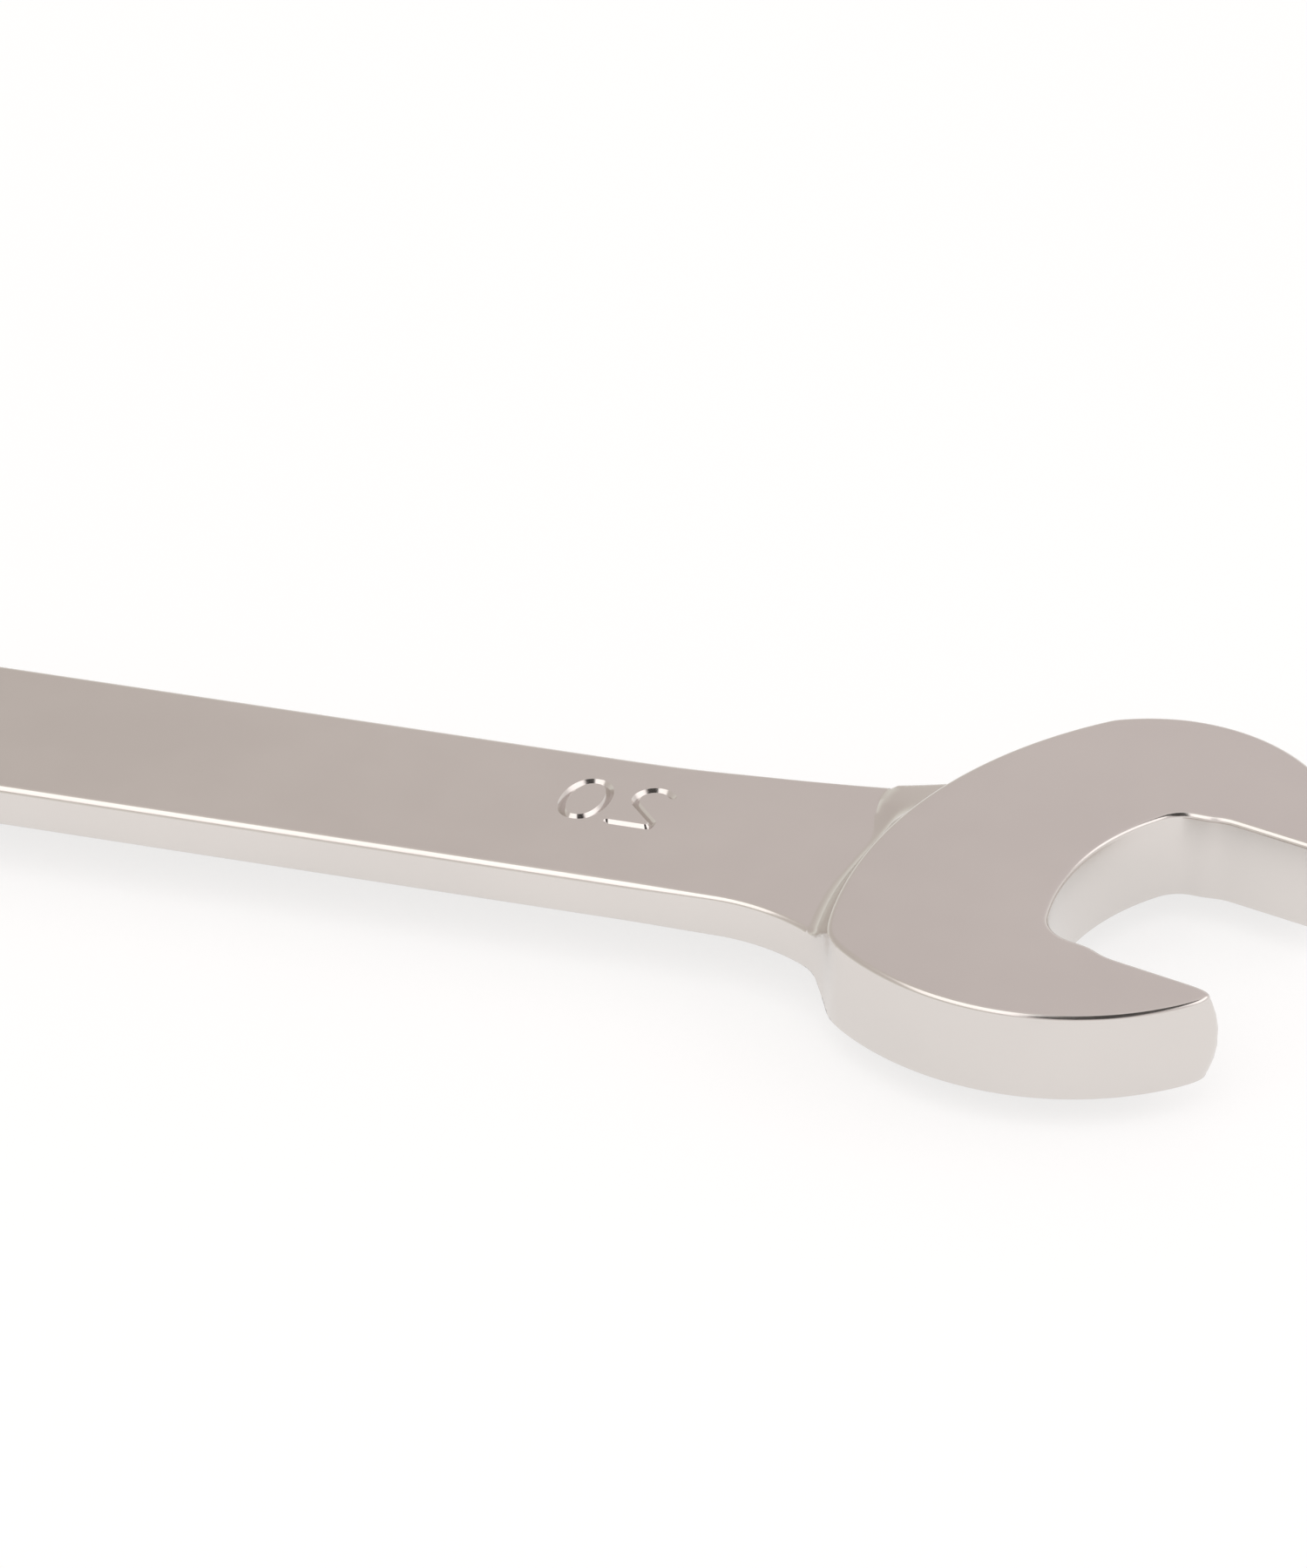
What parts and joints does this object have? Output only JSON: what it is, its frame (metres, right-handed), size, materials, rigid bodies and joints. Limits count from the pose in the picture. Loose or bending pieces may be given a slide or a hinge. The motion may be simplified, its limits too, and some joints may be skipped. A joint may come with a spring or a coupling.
{
  "type": "combination wrench",
  "caption": "Combination wrench: slim open jaw set at 15 degrees on a flat shank, and a reversible ratcheting twelve-point ring with a thumb lever.",
  "frame": {"origin": "on the axis of the ratcheting ring, at the mid plane of both heads", "axes": "+X along the shank from the ring to the open jaw, +Z along the ring's axis towards the face with the reversing lever"},
  "size_m": [0.2896, 0.0412, 0.0149],
  "materials": {
    "forged_chrome": "satin chrome faces with polished edges",
    "gear_steel": "machined and hardened, satin nickel",
    "hardened_steel": "ground",
    "spring_steel": "oil blackened",
    "lever_chrome": "satin chrome",
    "seal_rubber": "smooth nitrile rubber"
  },
  "bodies": {
    "handle": {"wrench_body": "forged_chrome", "thrust_washer": "hardened_steel", "gear_retaining_ring": "spring_steel", "pawl_pin": "hardened_steel"},
    "gear": {"ratchet_gear": "gear_steel", "gear_drag_ring": "seal_rubber"},
    "pawl": {"pawl": "hardened_steel"},
    "lever": {"reversing_lever": "lever_chrome", "lever_seal": "seal_rubber", "lever_clip": "spring_steel", "plunger_spring": "spring_steel"},
    "plunger": {"plunger": "hardened_steel"}
  },
  "joints": [
    {"name": "gear_spin", "type": "hinge", "parent": "handle", "child": "gear", "pos_m": [0, 0, 0], "axis": [0, 0, 1], "continuous": true},
    {"name": "lever_flip", "type": "hinge", "parent": "handle", "child": "lever", "pos_m": [0.0265, 0, 0], "axis": [0, 0, 1], "range_deg": [0, 60]},
    {"name": "pawl_rock", "type": "hinge", "parent": "handle", "child": "pawl", "pos_m": [0.0186, 0, 0], "axis": [0, 0, 1], "range_deg": [-9, 0]},
    {"name": "plunger_slide", "type": "slide", "parent": "lever", "child": "plunger", "axis": [-0.866, 0.5, 0], "range_m": [-0.0006, 0], "stiffness_N_per_m": 400, "springref_m": 0.0004, "deforming": ["plunger_spring"]}
  ],
  "couplings": [
    {"joint": "pawl_rock", "follows": "lever_flip", "ratio": -0.15}
  ]
}
